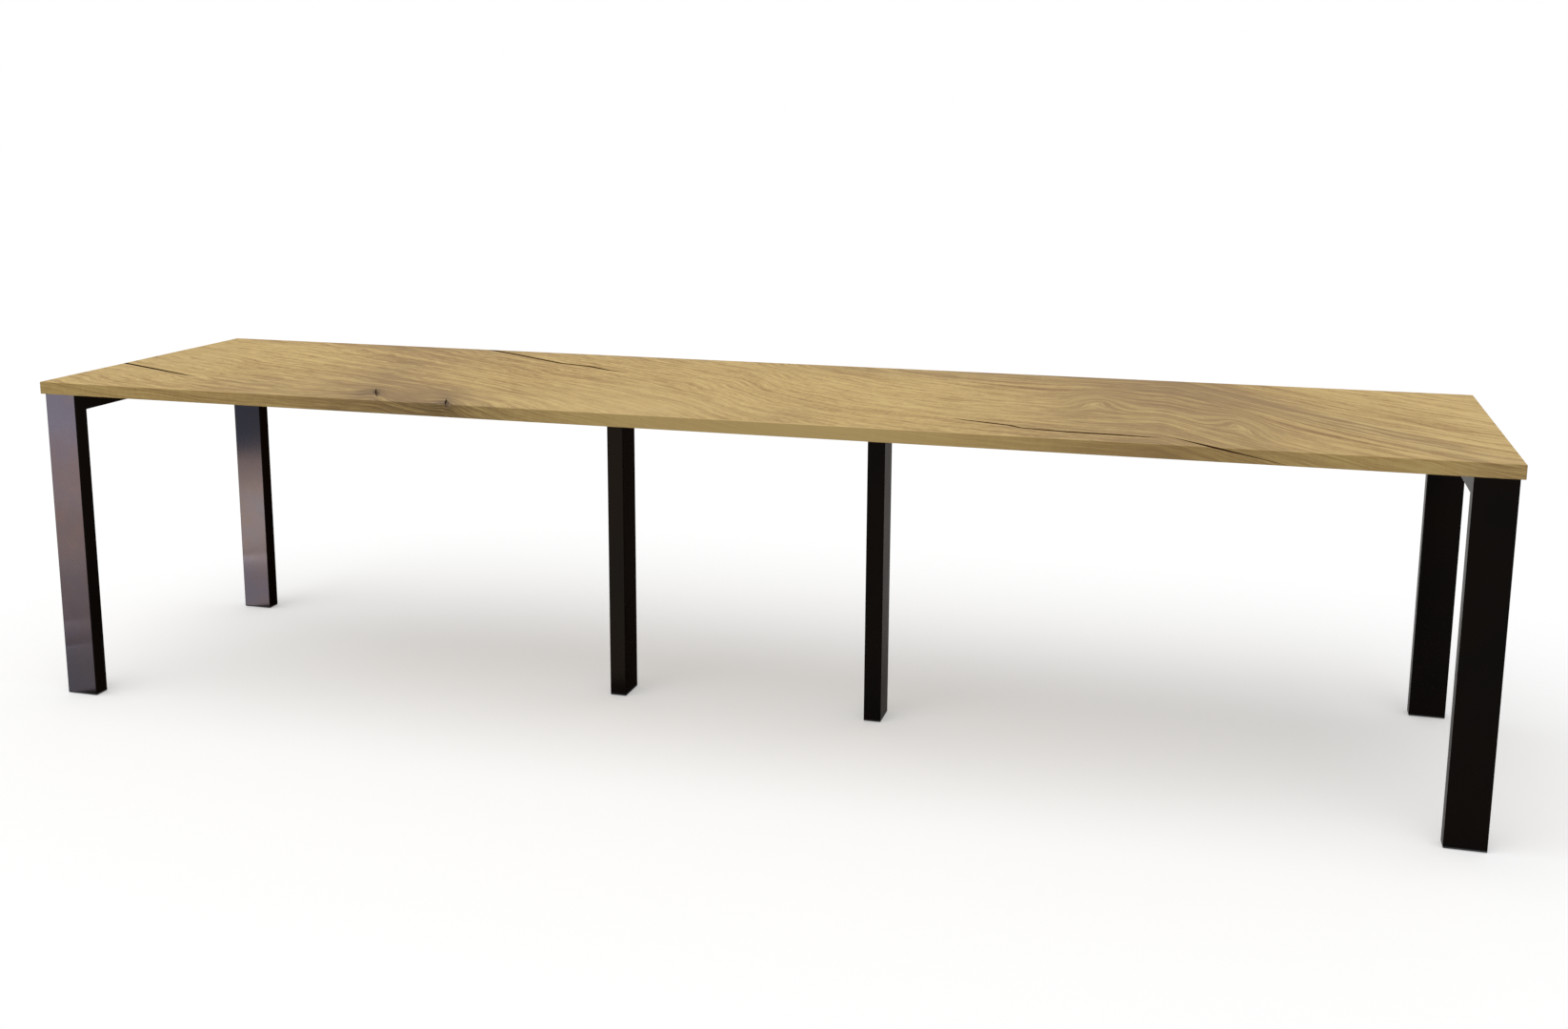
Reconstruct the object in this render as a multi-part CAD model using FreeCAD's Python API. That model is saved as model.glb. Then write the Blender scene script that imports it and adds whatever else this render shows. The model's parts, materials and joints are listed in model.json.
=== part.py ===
import FreeCAD, Part
import math
import os

# Refectory table: one oak slab on three welded U-frames of flat steel tube.
# Millimetres. X runs along the table, Y to its back, Z up from the floor at the table's centre.

Vector = FreeCAD.Vector
UP = Vector(0, 0, 1)

# Whole table
table_height = 760.0
top_length = 3200.0
top_width = 800.0
top_thickness = 28.0
edge_ease = 1.0
cut_overrun = 5.0

# Steel tube and the places of the three frames
tube_width = 80.0
tube_depth = 40.0
tube_wall = 2.0
tube_corner = 2.5
end_inset = 8.0
side_inset = 6.0
post_spacing = 625.0

# Bolts that hold the frames up against the oak, each in a slot that lets the oak move
fixings_per_bar = 4
fixing_end_distance = 90.0
bolt_diameter = 6.0
bolt_length = 16.0
bolt_head_diameter = 10.5
bolt_head_crown_diameter = 6.5
bolt_head_height = 3.3
bolt_key_size = 4.0
bolt_key_depth = 2.0
thread_clearance = 0.1
slot_clearance = 0.5
slot_length = 16.0
washer_diameter = 18.0
washer_thickness = 1.6
insert_diameter = 12.0
insert_length = 13.0
insert_clearance = 0.05
insert_hole_spare = 2.0

# Plastic caps that close the bolts' access holes
access_hole_diameter = 22.0
access_cap_clearance = 0.2
access_cap_rim = 1.5
access_cap_rim_thickness = 1.2
access_cap_depth = 6.0
access_cap_wall = 1.4

# Steel channels let into the underside across the grain
stiffeners_per_bay = 2
stiffener_length = 640.0
stiffener_width = 60.0
stiffener_depth = 12.0
stiffener_wall = 4.0
stiffener_clearance = 0.5
stiffener_screw_count = 5
stiffener_screw_end_distance = 40.0
wood_screw_diameter = 5.0
wood_screw_length = 18.0
wood_screw_head_diameter = 10.0
wood_screw_crown_diameter = 7.0
wood_screw_head_height = 2.5
wood_screw_slot_length = 14.0
wood_screw_key_size = 3.0
wood_screw_key_depth = 1.4

# Plastic end cap in the foot of each leg
floor_gap = 2.0
cap_flange_thickness = 3.0
cap_plug_height = 26.0
cap_plug_clearance = 0.4
cap_plug_wall = 2.0
cap_boss_length = 26.0
cap_rib_count = 3
cap_rib_thickness = 1.2
cap_rib_clearance = 0.05

# Levelling screw, its brass bush and the glide that it turns in
screw_diameter = 8.0
screw_pitch = 1.25
screw_turn_count = 8
screw_running_clearance = 0.05
screw_stem_length = 34.0
screw_head_diameter = 16.4
screw_head_thickness = 3.0
screw_key_size = 5.0
screw_key_depth = 2.0
screw_passage_clearance = 0.3
bush_diameter = 12.0
bush_length = 16.0
bush_flange_diameter = 17.0
bush_flange_thickness = 1.5
bush_clearance = 0.05
glide_diameter = 21.0
glide_floor_thickness = 2.0
glide_head_clearance = 0.3
glide_lip_thickness = 0.8
glide_lip_overlap = 1.2
glide_key_hole_diameter = 9.0
glide_edge_ease = 0.8
glide_recess_clearance = 0.5
stop_gap = 0.3

# Dark filling in the slab's cracks and knots
crack_width = 12.0
crack_depth = 8.0
corner_crack_mouth = 20.0
knot_width = 14.0
knot_depth = 6.0

# Cracks and knots: share of the length from the left, share of the width from the back, share of the opening
back_crack_shares = [
    (0.2400, 0.000, 0.80),
    (0.2780, 0.090, 1.00),
    (0.3240, 0.207, 0.80),
    (0.3530, 0.246, 1.00),
    (0.3740, 0.298, 0.70),
    (0.3950, 0.333, 0.00),
]
left_crack_shares = [
    (0.0000, 0.612, 0.90),
    (0.0438, 0.692, 1.00),
    (0.0812, 0.762, 0.60),
    (0.0950, 0.776, 0.00),
]
right_crack_shares = [
    (0.6600, 0.793, 0.00),
    (0.6700, 0.815, 0.60),
    (0.7005, 0.856, 0.85),
    (0.7087, 0.882, 0.60),
    (0.7382, 0.902, 1.00),
    (0.7664, 0.905, 1.00),
    (0.7840, 0.910, 0.70),
    (0.7960, 0.908, 0.00),
]
left_knot_shares = [
    (0.2475, 0.820, 0.00),
    (0.2545, 0.875, 1.00),
    (0.2600, 0.905, 0.70),
    (0.2645, 0.940, 0.00),
]
right_knot_shares = [
    (0.3150, 0.922, 0.00),
    (0.3205, 0.965, 0.80),
    (0.3260, 1.000, 0.70),
]

# The corner crack opens at the front arris and runs to a point on the top and on the edge
corner_crack_top_share = (0.7935, 0.872)
corner_crack_arris_share = 0.8260
corner_crack_edge_share = 0.8720

# Levels and places that follow from the sizes above
frame_top = table_height - top_thickness
tube_bottom = floor_gap + cap_flange_thickness
end_span = top_width - 2 * side_inset
centre_span = post_spacing + tube_depth
end_frame_x = top_length / 2 - end_inset - tube_width / 2
head_top = glide_floor_thickness + screw_head_thickness
glide_lip_bottom = head_top + glide_head_clearance
glide_top = glide_lip_bottom + glide_lip_thickness
bush_flange_bottom = glide_top + stop_gap
recess_roof = bush_flange_bottom + bush_flange_thickness
cap_top = tube_bottom + cap_plug_height
screw_travel = screw_turn_count * screw_pitch

# Frame name, its two legs from local minus X to plus X, its bar, its turn in degrees, its X place, its span
frames = [
    ("left", ("left_front", "left_rear"), "left_crossbar", 90, -end_frame_x, end_span),
    ("centre", ("centre_left", "centre_right"), "centre_bar", 0, 0, centre_span),
    ("right", ("right_front", "right_rear"), "right_crossbar", 90, end_frame_x, end_span),
]


def block(size_x, size_y, size_z, bottom=0):
    """Box centred on the Z axis."""
    return Part.makeBox(size_x, size_y, size_z, Vector(-size_x / 2, -size_y / 2, bottom))


def rounded_block(size_x, size_y, size_z, radius, bottom=0):
    """Centred box with its upright edges rounded."""
    solid = block(size_x, size_y, size_z, bottom)
    upright = [edge for edge in solid.Edges if abs(edge.tangentAt(edge.FirstParameter).z) > 1 / 2]
    return solid.makeFillet(radius, upright)


def rod(diameter, height, bottom=0):
    """Round bar on the Z axis."""
    return Part.makeCylinder(diameter / 2, height, Vector(0, 0, bottom), UP)


def hex_block(across_flats, height, bottom=0):
    """Six-sided bar on the Z axis."""
    radius = across_flats / 2 / math.cos(math.pi / 6)
    turns = [i * math.pi / 3 for i in range(7)]
    corners = [Vector(radius * math.cos(turn), radius * math.sin(turn), bottom) for turn in turns]
    return Part.Face(Part.makePolygon(corners)).extrude(UP * height)


def slot_block(length, width, height, bottom=0):
    """Bar with half-round ends, long along X."""
    solid = block(length - width, width, height, bottom)
    for end in (-1, 1):
        solid = solid.fuse(rod(width, height, bottom).translated(Vector(end * (length - width) / 2, 0, 0)))
    return solid.removeSplitter()


def turned(outline):
    """Solid turned about the Z axis from (radius, height) corners."""
    corners = [Vector(r, 0, z) for r, z in outline]
    return Part.Face(Part.makePolygon(corners + corners[:1])).revolve(Vector(0, 0, 0), UP, 360)


def placed(shape, angle, x, y=0, z=0):
    """Copy turned about the Z axis, then moved."""
    copy = shape.copy()
    copy.rotate(Vector(0, 0, 0), UP, angle)
    copy.translate(Vector(x, y, z))
    return copy


def even_places(half_length, count):
    """Evenly spaced places from minus to plus half_length."""
    return [half_length * (2 * i / (count - 1) - 1) for i in range(count)]


def shares_on_top(along_share, across_share):
    """Point in plan for shares of the slab's length from the left and of its width from the back."""
    return Vector((along_share - 1 / 2) * top_length, (1 / 2 - across_share) * top_width, 0)


def vein(shares, opening, depth):
    """Upright wedge of filling along a path on the slab's face."""
    path = [shares_on_top(a, b) for a, b, _ in shares]
    left_side = []
    right_side = []
    for i, (_, _, open_share) in enumerate(shares):
        before = path[max(i - 1, 0)]
        after = path[min(i + 1, len(path) - 1)]
        run = (after - before).normalize()
        side = Vector(-run.y, run.x, 0) * (opening * open_share / 2)
        ends_at_edge = open_share > 0 and i in (0, len(path) - 1)
        past_edge = run * (cut_overrun if i else -cut_overrun) if ends_at_edge else Vector(0, 0, 0)
        left_side.append(path[i] + side + past_edge)
        if open_share > 0:
            right_side.append(path[i] - side + past_edge)
    outline = left_side + right_side[::-1]
    face = Part.Face(Part.makePolygon(outline + outline[:1]))
    face.translate(UP * (table_height - depth))
    return face.extrude(UP * (depth + cut_overrun))


def corner_crack():
    """Four-cornered wedge: a point on the top, one on the front edge, and its mouth at the arris between."""
    inner = shares_on_top(*corner_crack_top_share) + UP * (table_height + edge_ease)
    mouth = shares_on_top(corner_crack_arris_share, 1) + Vector(0, -edge_ease, table_height + edge_ease)
    low = shares_on_top(corner_crack_edge_share, 1) + Vector(0, -edge_ease, frame_top)
    half_mouth = Vector(corner_crack_mouth / 2, 0, 0)
    near = mouth - half_mouth
    far = mouth + half_mouth
    faces = [(inner, near, far), (low, near, far), (inner, low, near), (inner, low, far)]
    shell = Part.makeShell([Part.Face(Part.makePolygon([a, b, c, a])) for a, b, c in faces])
    solid = Part.makeSolid(shell)
    return solid if solid.Volume > 0 else solid.reversed()


def plain_slab():
    """The oak slab with eased arrises, before anything is cut into it."""
    solid = block(top_length, top_width, top_thickness, frame_top)
    return solid.makeChamfer(edge_ease, solid.Edges)


def make_crack_filling(slab):
    """Dark resin in the slab's cracks, cut flush with its faces."""
    paths = (back_crack_shares, left_crack_shares, right_crack_shares)
    runs = [vein(shares, crack_width, crack_depth) for shares in paths]
    return [run.common(slab).Solids[0] for run in runs + [corner_crack()]]


def make_knot_filling(slab):
    """Knot wood and its filling in the slab's two open knots."""
    runs = [vein(shares, knot_width, knot_depth) for shares in (left_knot_shares, right_knot_shares)]
    return [run.common(slab).Solids[0] for run in runs]


def stiffener_places():
    """X places of the channels, evenly spread over the bays between the posts and the end frames."""
    bay_start = centre_span / 2
    bay_end = end_frame_x - tube_width / 2
    step = (bay_end - bay_start) / (stiffeners_per_bay + 1)
    right = [bay_start + step * (i + 1) for i in range(stiffeners_per_bay)]
    return [-x for x in reversed(right)] + right


def stiffener_screw_places():
    """Y places of the screws along a channel."""
    return even_places(stiffener_length / 2 - stiffener_screw_end_distance, stiffener_screw_count)


def make_stiffener():
    """Channel with its web flush with the underside and its flanges up in the oak."""
    channel = block(stiffener_width, stiffener_length, stiffener_depth, frame_top)
    inside_width = stiffener_width - 2 * stiffener_wall
    inside_length = stiffener_length + cut_overrun
    channel = channel.cut(block(inside_width, inside_length, stiffener_depth, frame_top + stiffener_wall))
    slot_width = wood_screw_diameter + 2 * slot_clearance
    slot_height = stiffener_wall + cut_overrun
    slot = slot_block(wood_screw_slot_length, slot_width, slot_height, frame_top - cut_overrun / 2)
    return channel.cut([placed(slot, 90, 0, y) for y in stiffener_screw_places()])


def stiffener_groove():
    """What is routed out of the oak for one channel, with a tongue left between its flanges."""
    grown = 2 * stiffener_clearance
    groove = block(
        stiffener_width + grown,
        stiffener_length + grown,
        stiffener_depth + stiffener_clearance + cut_overrun,
        frame_top - cut_overrun,
    )
    tongue_width = stiffener_width - 2 * stiffener_wall - grown
    tongue_length = stiffener_length + grown + cut_overrun
    return groove.cut(block(tongue_width, tongue_length, top_thickness, frame_top + stiffener_wall))


def make_stiffener_screw():
    """Pan-head wood screw, its head under the channel's web."""
    head = Part.makeCone(wood_screw_crown_diameter / 2, wood_screw_head_diameter / 2, wood_screw_head_height)
    head = head.cut(hex_block(wood_screw_key_size, wood_screw_key_depth))
    head.translate(UP * (frame_top - wood_screw_head_height))
    return head.fuse(rod(wood_screw_diameter, wood_screw_length, frame_top)).removeSplitter()


def fixing_places():
    """Every frame bolt's place as (turn, x, y)."""
    places = []
    for _, _, _, angle, frame_x, span in frames:
        for along in even_places(span / 2 - fixing_end_distance, fixings_per_bar):
            turn = math.radians(angle)
            places.append((angle, frame_x + along * math.cos(turn), along * math.sin(turn)))
    return places


def make_oak_top(slab, filling):
    """The slab with its cracks, grooves and fastener holes."""
    cutters = list(filling)
    groove = stiffener_groove()
    pilot = rod(wood_screw_diameter + 2 * thread_clearance, wood_screw_length + insert_hole_spare, frame_top)
    for x in stiffener_places():
        cutters.append(placed(groove, 0, x))
        cutters += [placed(pilot, 0, x, y) for y in stiffener_screw_places()]
    insert_hole = rod(
        insert_diameter + 2 * insert_clearance,
        insert_length + insert_hole_spare + cut_overrun,
        frame_top - cut_overrun,
    )
    cutters += [placed(insert_hole, *place) for place in fixing_places()]
    return slab.cut(cutters)


def make_insert():
    """Threaded bush in the oak, flush with its underside."""
    bore = rod(bolt_diameter, insert_length + cut_overrun, frame_top - cut_overrun / 2)
    return rod(insert_diameter, insert_length, frame_top).cut(bore)


def make_washer():
    """Washer on the inside of a bar's upper wall."""
    underside = frame_top - tube_wall - washer_thickness
    bore_diameter = bolt_diameter + 2 * slot_clearance
    bore = rod(bore_diameter, washer_thickness + cut_overrun, underside - cut_overrun / 2)
    return rod(washer_diameter, washer_thickness, underside).cut(bore)


def make_bolt():
    """Socket bolt, driven up through the access hole."""
    head_top_level = frame_top - tube_wall - washer_thickness
    head = Part.makeCone(bolt_head_crown_diameter / 2, bolt_head_diameter / 2, bolt_head_height)
    head = head.cut(hex_block(bolt_key_size, bolt_key_depth))
    head.translate(UP * (head_top_level - bolt_head_height))
    return head.fuse(rod(bolt_diameter - 2 * thread_clearance, bolt_length, head_top_level)).removeSplitter()


def make_access_cap():
    """Cup-shaped plastic cap pushed into a bar's access hole from below."""
    rim_radius = access_hole_diameter / 2 + access_cap_rim
    cup_radius = access_hole_diameter / 2 - access_cap_clearance
    inner_radius = cup_radius - access_cap_wall
    face_level = frame_top - tube_depth
    outline = [
        (0, face_level - access_cap_rim_thickness),
        (rim_radius - access_cap_rim_thickness / 2, face_level - access_cap_rim_thickness),
        (rim_radius, face_level - access_cap_rim_thickness / 2),
        (rim_radius, face_level),
        (cup_radius, face_level),
        (cup_radius, face_level + access_cap_depth),
        (inner_radius, face_level + access_cap_depth),
        (inner_radius, face_level),
        (0, face_level),
    ]
    return turned(outline)


def tube(length, bottom=0):
    """Straight length of the frames' tube along Z, its width along Y."""
    outer = rounded_block(tube_depth, tube_width, length, tube_corner, bottom)
    inner = rounded_block(
        tube_depth - 2 * tube_wall,
        tube_width - 2 * tube_wall,
        length + 2 * cut_overrun,
        tube_corner - tube_wall,
        bottom - cut_overrun,
    )
    return outer.cut(inner)


def mitre_wedge(span, side, takes_leg):
    """Wedge beyond a frame's corner mitre: the bar's half of the corner, or the leg's."""
    outer_x = side * (span / 2 + cut_overrun)
    inner_x = side * (span / 2 - tube_depth - cut_overrun)
    high = frame_top + cut_overrun
    low = frame_top - tube_depth - cut_overrun
    third = (inner_x, high) if takes_leg else (outer_x, low)
    corners = [Vector(x, -tube_width, z) for x, z in ((outer_x, high), (inner_x, low), third)]
    return Part.Face(Part.makePolygon(corners + corners[:1])).extrude(Vector(0, 2 * tube_width, 0))


def make_leg(span, side):
    """Leg of a frame, mitred at its top."""
    leg = tube(frame_top - tube_bottom, tube_bottom).translated(Vector(side * (span - tube_depth) / 2, 0, 0))
    return leg.cut(mitre_wedge(span, side, True))


def make_bar(span):
    """Upper bar of a frame, mitred at both ends, slotted above and bored below for its bolts."""
    bar = tube(span, -span / 2)
    bar.rotate(Vector(0, 0, 0), Vector(0, 1, 0), 90)
    bar.translate(UP * (frame_top - tube_depth / 2))
    slot_width = bolt_diameter + 2 * slot_clearance
    slot = slot_block(slot_length, slot_width, 2 * tube_wall, frame_top - 3 * tube_wall / 2)
    access = rod(access_hole_diameter, 2 * tube_wall, frame_top - tube_depth - tube_wall / 2)
    cutters = [mitre_wedge(span, side, False) for side in (-1, 1)]
    for along in even_places(span / 2 - fixing_end_distance, fixings_per_bar):
        cutters += [placed(slot, 0, along), placed(access, 0, along)]
    return bar.cut(cutters)


def make_end_cap():
    """Plug in a leg's foot: a flange, a ribbed hollow plug and a boss for the levelling screw."""
    inner_depth = tube_depth - 2 * tube_wall
    inner_width = tube_width - 2 * tube_wall
    plug_depth = inner_depth - 2 * cap_plug_clearance
    plug_width = inner_width - 2 * cap_plug_clearance
    cap = rounded_block(tube_depth, tube_width, cap_flange_thickness, tube_corner, floor_gap)
    cap = cap.fuse(block(plug_depth, plug_width, cap_plug_height, tube_bottom))
    rib_step = cap_plug_height / (cap_rib_count + 1)
    rib = rounded_block(
        inner_depth - 2 * cap_rib_clearance,
        inner_width - 2 * cap_rib_clearance,
        cap_rib_thickness,
        tube_corner - tube_wall,
        tube_bottom - cap_rib_thickness / 2,
    )
    cap = cap.fuse([rib.translated(UP * (rib_step * (i + 1))) for i in range(cap_rib_count)])
    pocket_length = (plug_width - cap_boss_length) / 2 - cap_plug_wall
    pocket = block(plug_depth - 2 * cap_plug_wall, pocket_length, cap_plug_height + cut_overrun, tube_bottom)
    pocket_y = (cap_boss_length + pocket_length) / 2
    cutters = [pocket.translated(Vector(0, side * pocket_y, 0)) for side in (-1, 1)]
    recess_bottom = floor_gap - cut_overrun
    recess_diameter = glide_diameter + 2 * glide_recess_clearance
    passage_length = cap_top - recess_roof + cut_overrun
    cutters.append(rod(recess_diameter, recess_roof - recess_bottom, recess_bottom))
    cutters.append(rod(bush_diameter + 2 * bush_clearance, bush_length, recess_roof))
    cutters.append(rod(screw_diameter + 2 * screw_passage_clearance, passage_length, recess_roof))
    return cap.cut(cutters).removeSplitter()


def make_bush():
    """Brass threaded bush, its flange under the end cap's boss."""
    outer = rod(bush_diameter, bush_flange_thickness + bush_length, bush_flange_bottom)
    outer = outer.fuse(rod(bush_flange_diameter, bush_flange_thickness, bush_flange_bottom))
    bore = rod(screw_diameter, bush_length + cut_overrun, bush_flange_bottom - cut_overrun / 4)
    return outer.cut(bore).removeSplitter()


def make_levelling_screw():
    """Screw with a disc head, turned with a key through the glide's hole."""
    head = rod(screw_head_diameter, screw_head_thickness, glide_floor_thickness)
    head = head.cut(hex_block(screw_key_size, screw_key_depth, glide_floor_thickness))
    stem = rod(screw_diameter - 2 * screw_running_clearance, screw_stem_length, head_top)
    return head.fuse(stem).removeSplitter()


def make_glide():
    """Nylon glide snapped over the screw's head, so that it stays still while the screw turns."""
    outer = glide_diameter / 2
    cavity = screw_head_diameter / 2 + glide_head_clearance
    lip = screw_head_diameter / 2 - glide_lip_overlap
    outline = [
        (glide_key_hole_diameter / 2, 0),
        (outer - glide_edge_ease, 0),
        (outer, glide_edge_ease),
        (outer, glide_top),
        (lip, glide_top),
        (lip, glide_lip_bottom),
        (cavity, glide_lip_bottom),
        (cavity, glide_floor_thickness),
        (glide_key_hole_diameter / 2, glide_floor_thickness),
    ]
    return turned(outline)


def frame_nodes():
    """Legs, bars and feet of the three frames."""
    nodes = {}
    bushes = []
    foot_pieces = {
        "end_cap": make_end_cap(),
        "levelling_screw": make_levelling_screw(),
        "glide": make_glide(),
    }
    bush = make_bush()
    for _, legs, bar_name, angle, frame_x, span in frames:
        nodes[bar_name] = placed(make_bar(span), angle, frame_x)
        for side, leg_name in zip((-1, 1), legs):
            nodes[leg_name + "_leg"] = placed(make_leg(span, side), angle, frame_x)
            leg_place = placed(Part.Vertex(side * (span - tube_depth) / 2, 0, 0), angle, frame_x).Point
            for piece_name, piece in foot_pieces.items():
                nodes[leg_name + "_" + piece_name] = placed(piece, angle, leg_place.x, leg_place.y)
            bushes.append(placed(bush, angle, leg_place.x, leg_place.y))
    nodes["thread_bushes"] = Part.makeCompound(bushes)
    return nodes


def fixing_nodes():
    """Groups of the identical fastenings between the bars and the slab."""
    pieces = {
        "threaded_inserts": make_insert(),
        "frame_washers": make_washer(),
        "frame_bolts": make_bolt(),
        "access_hole_caps": make_access_cap(),
    }
    places = fixing_places()
    return {name: Part.makeCompound([placed(piece, *at) for at in places]) for name, piece in pieces.items()}


def stiffener_nodes():
    """The channels, from the left, and the group of their screws."""
    channel = make_stiffener()
    screw = make_stiffener_screw()
    nodes = {}
    screws = []
    for number, x in enumerate(stiffener_places(), start=1):
        nodes["stiffener_%d" % number] = placed(channel, 0, x)
        screws += [placed(screw, 0, x, y) for y in stiffener_screw_places()]
    nodes["stiffener_screws"] = Part.makeCompound(screws)
    return nodes


def top_nodes():
    """The oak slab and its fillings."""
    slab = plain_slab()
    cracks = make_crack_filling(slab)
    knots = make_knot_filling(slab)
    return {
        "oak_top": make_oak_top(slab, cracks + knots),
        "crack_filling": Part.makeCompound(cracks),
        "knot_filling": Part.makeCompound(knots),
    }


def main():
    """Build every piece and write it to its own file."""
    os.makedirs("parts", exist_ok=True)
    nodes = {}
    for group in (top_nodes(), stiffener_nodes(), fixing_nodes(), frame_nodes()):
        nodes.update(group)
    for name, shape in nodes.items():
        shape.exportStep("parts/%s.step" % name)
        print(name, len(shape.Solids), "solids", shape.isValid(), round(shape.Volume))
    print("levelling travel", screw_travel)


main()
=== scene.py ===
"""Looks of a refectory table: one oak slab on three welded frames of flat steel tube.

Lengths are metres in the part's own frame: X along the table, Y to its back, Z up from the floor.
"""

import json
import logging
import math
from dataclasses import astuple, dataclass
from enum import Enum

import bpy
from mathutils import Color, Matrix, Vector

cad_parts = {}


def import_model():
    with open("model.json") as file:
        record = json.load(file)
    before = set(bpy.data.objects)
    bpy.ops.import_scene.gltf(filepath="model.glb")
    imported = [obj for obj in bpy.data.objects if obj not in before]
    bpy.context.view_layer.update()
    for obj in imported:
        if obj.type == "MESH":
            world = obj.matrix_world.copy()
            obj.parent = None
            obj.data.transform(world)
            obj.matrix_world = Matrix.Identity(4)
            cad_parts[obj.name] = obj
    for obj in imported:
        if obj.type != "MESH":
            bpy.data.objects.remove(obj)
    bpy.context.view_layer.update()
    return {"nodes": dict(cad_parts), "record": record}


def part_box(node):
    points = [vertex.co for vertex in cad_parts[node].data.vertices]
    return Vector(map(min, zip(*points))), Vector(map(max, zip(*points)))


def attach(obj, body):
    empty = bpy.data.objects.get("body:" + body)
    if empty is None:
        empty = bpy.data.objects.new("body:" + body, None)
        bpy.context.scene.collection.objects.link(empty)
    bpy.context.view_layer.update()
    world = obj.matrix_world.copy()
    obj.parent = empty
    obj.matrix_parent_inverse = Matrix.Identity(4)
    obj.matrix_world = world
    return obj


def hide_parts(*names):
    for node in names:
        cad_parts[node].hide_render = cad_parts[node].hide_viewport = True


LOG = logging.getLogger("refectory_table")
TINY = 1e-6
ORIGIN = (0.0, 0.0, 0.0)
UP = (0.0, 0.0, 1.0)
DOWN = (0.0, 0.0, -1.0)
FRONT = (0.0, -1.0, 0.0)
WHITE = (1.0, 1.0, 1.0, 1.0)

Piece = bpy.types.Object
Material = bpy.types.Material
Socket = bpy.types.NodeSocket
Feed = Socket | float | tuple[float, ...]
Feeds = dict[str | int, Feed]
Colour = tuple[float, float, float, float]
Fade = tuple[float, ...]
Look = tuple[Socket, Socket]


def paint(red: int, green: int, blue: int) -> Colour:
    """Turn a colour written in screen values, 0 to 255, into the linear values that shaders take."""
    screen = Color((red / 255, green / 255, blue / 255))
    return (*screen.from_srgb_to_scene_linear(), 1.0)


class Effect(Enum):
    """Surface effects that several finishes share, by the names of their node groups."""

    SKIN = "fine_skin"
    HANDLING = "handling"
    OVAL = "oval_mark"


class Graph:
    """Places and links shader nodes in one node tree."""

    def __init__(self, tree: bpy.types.NodeTree) -> None:
        """Keep the tree that the nodes go in."""
        self.tree = tree

    def feed(self, node: bpy.types.Node, feeds: Feeds) -> bpy.types.Node:
        """Fill a node's inputs.

        Args:
            node: The node.
            feeds: Plain values, or sockets to link, by the input's name or number.

        Returns:
            The same node.
        """
        for key, value in feeds.items():
            if isinstance(value, Socket):
                self.tree.links.new(value, node.inputs[key])
            else:
                node.inputs[key].default_value = value
        return node

    def add(self, kind: str, feeds: Feeds | None = None, **settings: object) -> bpy.types.Node:
        """Add one node.

        Args:
            kind: The node's type, without its ShaderNode prefix.
            feeds: What goes into its inputs.
            settings: The node's own properties.

        Returns:
            The new node.
        """
        node = self.tree.nodes.new("ShaderNode" + kind)
        for name, value in settings.items():
            setattr(node, name, value)
        return self.feed(node, feeds or {})

    def effect(self, effect: Effect, *values: Feed) -> bpy.types.bpy_prop_collection:
        """Place a shared effect with its own values, and return its outputs."""
        group = bpy.data.node_groups[effect.value]
        return self.add("Group", dict(enumerate(values)), node_tree=group).outputs

    def math(self, operation: str, *values: Feed) -> Socket:
        """Add a math node and return its result."""
        return self.add("Math", dict(enumerate(values)), operation=operation).outputs[0]

    def times(self, first: Feed, second: Feed) -> Socket:
        """Multiply two values."""
        return self.math("MULTIPLY", first, second)

    def weighted(self, *terms: tuple[Feed, float]) -> Socket:
        """Add up values that each have a weight.

        Args:
            terms: Each value with its weight.

        Returns:
            Their sum.
        """
        result, *others = [self.times(value, weight) for value, weight in terms]
        for other in others:
            result = self.math("ADD", result, other)
        return result

    def fade(self, value: Feed, start: float, end: float, low: float = 0.0, high: float = 1.0) -> Socket:
        """Carry a value smoothly from low at start to high at end, which may lie below start."""
        feeds = {"Value": value, "From Min": start, "From Max": end, "To Min": low, "To Max": high}
        return self.add("MapRange", feeds, interpolation_type="SMOOTHSTEP").outputs["Result"]

    def vector(self, *parts: Feed) -> Socket:
        """Join three values into a vector."""
        return self.add("CombineXYZ", dict(enumerate(parts))).outputs[0]

    def apart(self, vector: Socket) -> list[Socket]:
        """Take a vector apart into its three values."""
        return list(self.add("SeparateXYZ", {0: vector}).outputs)

    def noise(self, place: Socket, scale: float, detail: float, roughness: float = 0.5) -> Socket:
        """Read a noise pattern, about one half, from its lumps in a unit and its finer octaves."""
        feeds = {"Vector": place, "Scale": scale, "Detail": detail, "Roughness": roughness}
        return self.add("TexNoise", feeds).outputs[0]

    def blend(self, factor: Feed, first: Feed, second: Feed) -> Socket:
        """Lay a second colour over a first, as far as the factor says."""
        return self.add("Mix", {0: factor, 6: first, 7: second}, data_type="RGBA").outputs[2]

    def ramp(self, factor: Feed, stops: tuple[tuple[float, Colour], ...]) -> Socket:
        """Turn a value into a colour.

        Args:
            factor: The value, from 0 to 1.
            stops: Places on the ramp with their colours.

        Returns:
            The colour.
        """
        node = self.add("ValToRGB", {"Fac": factor})
        elements = node.color_ramp.elements
        while len(elements) < len(stops):
            elements.new(1.0)
        for element, (place, colour) in zip(elements, stops):
            element.position = place
            element.color = colour
        return node.outputs["Color"]


@dataclass(frozen=True)
class Relief:
    """How strongly a bump shows, and how deep it is."""

    strength: float
    depth: float


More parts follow.
